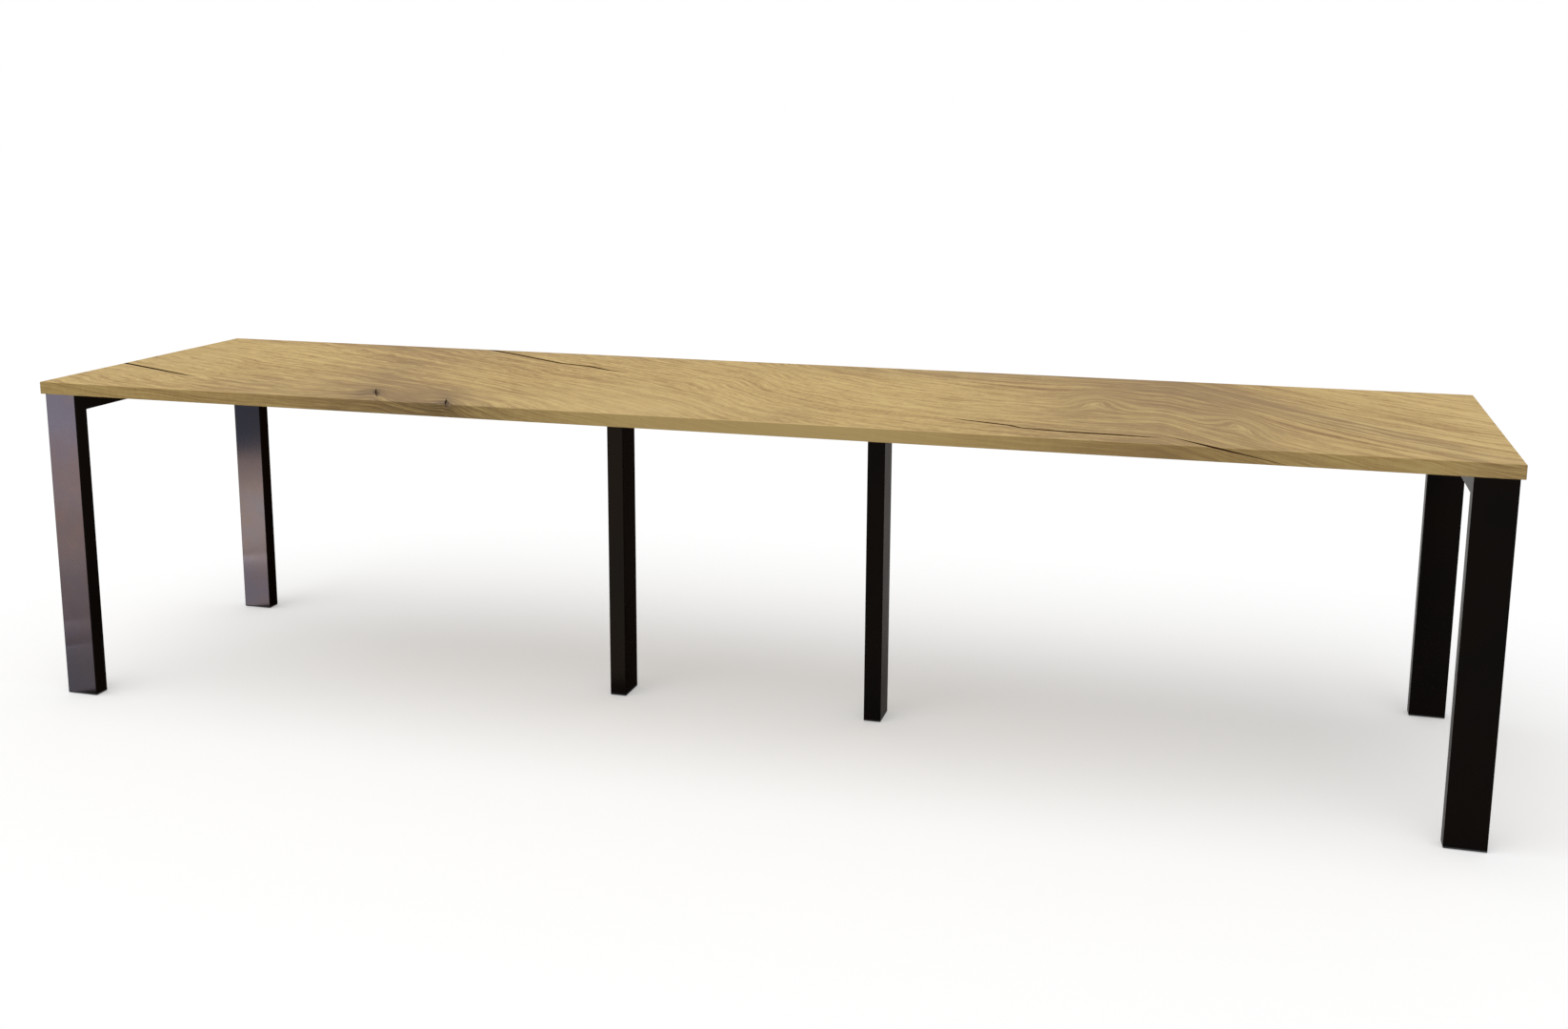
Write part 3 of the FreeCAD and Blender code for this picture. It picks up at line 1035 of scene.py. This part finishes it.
@dataclass
class SteelFrame:
    """One welded frame of flat tube: two legs, the bar between their heads, and two weld beads inside."""

    shop: Workshop
    bar: str
    legs: tuple[str, str]
    tube_corner: float = 0.0025

    def corner(self, leg: str) -> tuple[Vector, float]:
        """Find where a leg's inner face meets the bar's underside.

        Args:
            leg: The leg.

        Returns:
            The middle of that corner, and the turn from the model's way, whose open side is the back.
        """
        low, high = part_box(f"{leg}_leg")
        bar_low, bar_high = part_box(self.bar)
        centre = (low + high) / 2
        inward = (bar_low + bar_high) / 2 - centre
        inward.z = 0.0
        inward.normalize()
        half = (high - low) / 2
        depth = abs(inward.x) * half.x + abs(inward.y) * half.y
        place = centre + depth * inward
        place.z = bar_low.z
        return (place, math.atan2(inward.y, inward.x) - math.pi / 2)

    def build(self, bead: Piece) -> None:
        """Dress the tubes and lay the weld beads.

        Args:
            bead: The bead, modelled at the origin.
        """
        self.shop.dress_nodes(self.bar, *[f"{leg}_leg" for leg in self.legs])
        for leg in self.legs:
            place, turn = self.corner(leg)
            weld = Bench.copy(bead, f"{leg}_weld", place, turn)
            self.shop.fit(weld, "table", Slot.FRAME)


@dataclass
class LevellingScrew:
    """A levelling screw with a real thread, a flat round head and a hexagon socket in it."""

    base: float
    stem_top: float
    head_radius: float
    head_thickness: float = 0.003
    head_steps: int = 64
    rim_ease: float = 0.0004
    rim_steps: int = 3
    rim_degrees: float = 45.0
    key_size: float = 0.005
    key_depth: float = 0.002
    crest_radius: float = 0.0039
    root_radius: float = 0.0032
    pitch: float = 0.00125
    root_share: float = 0.22
    flank_share: float = 0.34
    crest_share: float = 0.10
    turn_steps: int = 32
    smooth_degrees: float = 25.0

    def thread(self) -> Piece:
        """Build the threaded stem: one tooth's outline, drawn point by point and wound up the axis.

        Returns:
            The stem, closed at both ends.
        """
        rise = self.crest_radius - self.root_radius
        turns = math.ceil((self.stem_top - self.base) / self.pitch) + 1
        Bench.clear()
        bpy.ops.mesh.primitive_plane_add(size=self.pitch, location=(self.root_radius, 0.0, self.base))
        stem = Bench.settle("levelling_screw")
        Bench.edit()
        bpy.ops.mesh.merge(type="CENTER")
        for outward, share in (
            (0.0, self.root_share),
            (rise, self.flank_share),
            (0.0, self.crest_share),
            (-rise, self.flank_share),
        ):
            move = (outward, 0.0, share * self.pitch)
            bpy.ops.mesh.extrude_vertices_move(TRANSFORM_OT_translate={"value": move})
        Bench.close()
        Bench.apply(
            stem, "SCREW", axis="Z", screw_offset=self.pitch, iterations=turns, steps=self.turn_steps,
            render_steps=self.turn_steps, use_merge_vertices=True, merge_threshold=TINY,
        )
        Bench.edit()
        bpy.ops.mesh.remove_doubles(threshold=TINY)
        bpy.ops.mesh.normals_make_consistent(inside=False)
        Bench.trim((0.0, 0.0, self.base + self.head_thickness / 2), DOWN)
        Bench.trim((0.0, 0.0, self.stem_top), UP)
        bpy.ops.mesh.select_all(action="SELECT")
        bpy.ops.mesh.normals_make_consistent(inside=False)
        Bench.close()
        return stem

    def head(self) -> Piece:
        """Build the head with its eased rims and its socket.

        Returns:
            The head.
        """
        middle = (0.0, 0.0, self.base + self.head_thickness / 2)
        Bench.clear()
        bpy.ops.mesh.primitive_cylinder_add(
            vertices=self.head_steps, radius=self.head_radius, depth=self.head_thickness, location=middle)
        head = Bench.settle("screw_head")
        Bench.edit()
        bpy.ops.mesh.select_mode(type="EDGE")
        bpy.ops.mesh.select_all(action="DESELECT")
        bpy.ops.mesh.edges_select_sharp(sharpness=math.radians(self.rim_degrees))
        bpy.ops.mesh.bevel(offset=self.rim_ease, segments=self.rim_steps, affect="EDGES")
        Bench.close()
        Bench.clear()
        corner_radius = self.key_size / math.sqrt(3)
        bpy.ops.mesh.primitive_cylinder_add(
            vertices=6, radius=corner_radius, depth=2 * self.key_depth, location=(0.0, 0.0, self.base))
        key = Bench.settle("socket_key")
        Bench.combine(head, key, "DIFFERENCE")
        return head

    def model(self) -> Piece:
        """Build the whole screw, upright on the axis.

        Returns:
            The screw.
        """
        screw = self.thread()
        Bench.combine(screw, self.head(), "UNION")
        bpy.ops.object.shade_smooth_by_angle(angle=math.radians(self.smooth_degrees))
        return screw


@dataclass
class LevellingFoot:
    """One leg's foot: its plastic end cap, its levelling screw and the glide that the screw turns in."""

    shop: Workshop
    leg: str

    def build(self, screw: Piece) -> None:
        """Dress the cap and the glide, and put a threaded screw in place of the plain one.

        Args:
            screw: The screw, modelled upright on the axis.
        """
        plain = f"{self.leg}_levelling_screw"
        self.shop.dress_nodes(f"{self.leg}_end_cap", f"{self.leg}_glide", plain)
        low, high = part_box(plain)
        place = (low + high) / 2
        place.z = 0.0
        threaded = Bench.copy(screw, f"{self.leg}_threaded_screw", place)
        self.shop.fit(threaded, plain, Slot.ZINC)
        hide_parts(plain)


@dataclass(frozen=True)
class SheenCard:
    """A glowing card that stands out of the camera's sight and shines on one leg alone, which mirrors it.

    Its levels are those at which the camera sees it mirrored in the leg's front face.
    """

    leg: str
    low: float
    high: float
    distance: float
    width: float
    colour: tuple[float, float, float]
    strength: float
    spread_degrees: float = 80.0

    def face(self, level: float) -> Vector:
        """Find the middle of the leg's front face at one level."""
        low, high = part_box(f"{self.leg}_leg")
        return Vector(((low.x + high.x) / 2, low.y, level))

    def seen_at(self, eye: Vector, level: float) -> Vector:
        """Find the place that the camera sees mirrored at one level of the leg.

        Args:
            eye: The camera's place.
            level: Height on the leg's front face.

        Returns:
            The place, at the card's distance from the leg.
        """
        face = self.face(level)
        ray = face - eye
        return face + Vector((ray.x, -ray.y, ray.z)) * (self.distance / ray.to_2d().length)

    def build(self, leg: Piece, eye: Vector) -> None:
        """Stand the card up, facing the leg.

        Args:
            leg: The leg's node.
            eye: The camera's place.
        """
        name = f"{self.leg}_card"
        bottom, top = self.seen_at(eye, self.low), self.seen_at(eye, self.high)
        middle = self.face((self.low + self.high) / 2)
        lamp = bpy.data.lights.new(name, "AREA")
        lamp.shape = "RECTANGLE"
        lamp.size = self.width
        lamp.size_y = (top - bottom).length
        lamp.spread = math.radians(self.spread_degrees)
        lamp.color = self.colour
        lamp.energy = self.strength * math.pi * lamp.size * lamp.size_y
        card = bpy.data.objects.new(name, lamp)
        card.location = (bottom + top) / 2
        card.rotation_euler = (middle - card.location).to_track_quat("-Z", "Y").to_euler()
        card.visible_camera = False
        alone = bpy.data.collections.new(name)
        alone.objects.link(leg)
        card.light_linking.receiver_collection = alone
        bpy.context.scene.collection.objects.link(card)


@dataclass
class Studio:
    """Camera, floor and soft light. The camera stands where the photograph was taken from.

    Turns are about X, Y and Z.
    """

    nodes: dict[str, Piece]
    photo_width: int = 1646
    photo_height: int = 1080
    focal_pixels: float = 1753.29
    centre_pixel: tuple[float, float] = (813.08, 452.81)
    eye: tuple[float, float, float] = (1.0831, -3.6325, 1.3850)
    turn_degrees: tuple[float, float, float] = (79.163, -0.258, 15.713)
    sensor_width: float = 36.0
    floor_size: float = 90.0
    floor_colour: Colour = (0.74, 0.74, 0.74, 1.0)
    floor_roughness: float = 0.9
    floor_lift: float = 0.31
    sky_fill: float = 0.5
    sun_strength: float = 1.6
    sun_width_degrees: float = 75.0
    sun_turn_degrees: tuple[float, float, float] = (22.0, -14.0, 0.0)
    cards: tuple[SheenCard, ...] = (
        SheenCard("left_front", 0.0, 0.12, 0.04, 0.12, (0.57, 0.67, 1.0), 3.8),
        SheenCard("left_front", 0.12, 0.185, 0.04, 0.12, (0.64, 0.7, 1.0), 1.7),
        SheenCard("left_front", 0.155, 0.33, 0.5, 0.4, (0.9, 0.83, 1.0), 4.8),
        SheenCard("left_front", 0.33, 0.48, 0.5, 0.4, (1.0, 0.89, 0.98), 6.0),
        SheenCard("left_front", 0.48, 0.62, 0.5, 0.4, (0.81, 0.78, 1.0), 8.1),
        SheenCard("left_front", 0.62, 0.85, 0.5, 0.4, (0.67, 0.71, 1.0), 9.7),
        SheenCard("left_rear", 0.0, 0.152, 0.04, 0.12, (0.69, 0.73, 1.0), 6.8),
        SheenCard("left_rear", 0.15, 0.345, 0.3, 0.3, (0.83, 0.85, 1.0), 10.6),
        SheenCard("left_rear", 0.345, 0.44, 0.3, 0.3, (0.86, 0.84, 1.0), 6.7),
        SheenCard("left_rear", 0.44, 0.85, 0.3, 0.3, (0.4, 0.56, 1.0), 2.1),
        SheenCard("centre_left", 0.06, 0.74, 0.2, 0.2, (1.0, 1.0, 0.9), 0.28),
    )

    def camera(self) -> None:
        """Set up the camera from the fitted eye point, turn and focal length."""
        lens = bpy.data.cameras.new("photo_camera")
        lens.sensor_fit = "HORIZONTAL"
        lens.sensor_width = self.sensor_width
        lens.lens = self.focal_pixels / self.photo_width * self.sensor_width
        lens.shift_x = (self.photo_width / 2 - self.centre_pixel[0]) / self.photo_width
        lens.shift_y = (self.centre_pixel[1] - self.photo_height / 2) / self.photo_width
        lens.clip_end = 2 * self.floor_size
        camera = bpy.data.objects.new("photo_camera", lens)
        camera.location = self.eye
        camera.rotation_euler = [math.radians(angle) for angle in self.turn_degrees]
        bpy.context.scene.collection.objects.link(camera)
        bpy.context.scene.camera = camera

    def shown_rays(self, graph: Graph) -> Socket:
        """Find the rays that see the white background: the camera's, mirrors' and glass.

        Args:
            graph: The graph of the floor or the world.

        Returns:
            1 for those rays and 0 for the rest.
        """
        rays = graph.add("LightPath").outputs
        shown = graph.math("MAXIMUM", rays["Is Camera Ray"], rays["Is Glossy Ray"])
        return graph.math("MAXIMUM", shown, rays["Is Transmission Ray"])

    def floor(self) -> None:
        """Lay a plain pale floor that keeps the table's shadow."""
        Bench.clear()
        bpy.ops.mesh.primitive_plane_add(size=self.floor_size)
        floor = Bench.settle("floor")
        surface = Surface("pale_floor")
        dress(floor, surface.finish({
            "Base Color": self.floor_colour,
            "Roughness": self.floor_roughness,
            "Specular IOR Level": 0.0,
            "Emission Color": WHITE,
            "Emission Strength": surface.times(self.shown_rays(surface), self.floor_lift),
        }))

    def light(self) -> None:
        """Set up the white surround and one broad lamp from above."""
        world = bpy.data.worlds.new("white_surround")
        world.use_nodes = True
        bpy.context.scene.world = world
        graph = Graph(world.node_tree)
        strength = graph.fade(self.shown_rays(graph), 0.0, 1.0, self.sky_fill, 1.0)
        graph.feed(world.node_tree.nodes["Background"], {"Color": WHITE, "Strength": strength})
        lamp = bpy.data.lights.new("overhead", "SUN")
        lamp.energy = self.sun_strength
        lamp.angle = math.radians(self.sun_width_degrees)
        sun = bpy.data.objects.new("overhead", lamp)
        sun.rotation_euler = [math.radians(angle) for angle in self.sun_turn_degrees]
        bpy.context.scene.collection.objects.link(sun)

    def sheen(self) -> None:
        """Stand up the cards that the left legs and the left centre leg mirror."""
        for card in self.cards:
            card.build(self.nodes[f"{card.leg}_leg"], Vector(self.eye))

    def build(self) -> None:
        """Set the whole studio up."""
        self.camera()
        self.floor()
        self.light()
        self.sheen()
        bpy.context.scene.view_settings.view_transform = "Standard"
        LOG.info("studio: camera, floor, lamp and cards")


FRAMES = {
    "left_crossbar": ("left_front", "left_rear"),
    "centre_bar": ("centre_left", "centre_right"),
    "right_crossbar": ("right_front", "right_rear"),
}


def main() -> None:
    """Build and dress the table."""
    logging.basicConfig(level=logging.INFO, format="%(message)s")
    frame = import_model()
    nodes = frame["nodes"]
    slots = {row["node"]: Slot(row["material_slot"]) for row in frame["record"]["subparts"]}
    build_skin()
    build_handling()
    build_oval()
    shop = Workshop(nodes, slots, mix_palette())
    OakTop(shop).build()
    Underside(shop).build()

    low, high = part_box("left_crossbar")
    bead = WeldBead(high.x - low.x - 2 * SteelFrame.tube_corner).model()
    for bar, legs in FRAMES.items():
        SteelFrame(shop, bar, legs).build(bead)
    bpy.data.objects.remove(bead, do_unlink=True)

    shop.dress_nodes("thread_bushes")
    low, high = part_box("left_front_levelling_screw")
    screw = LevellingScrew(low.z, high.z, (high.x - low.x) / 2).model()
    for legs in FRAMES.values():
        for leg in legs:
            LevellingFoot(shop, leg).build(screw)
    bpy.data.objects.remove(screw, do_unlink=True)

    Studio(nodes).build()


if __name__ == "__main__":
    main()
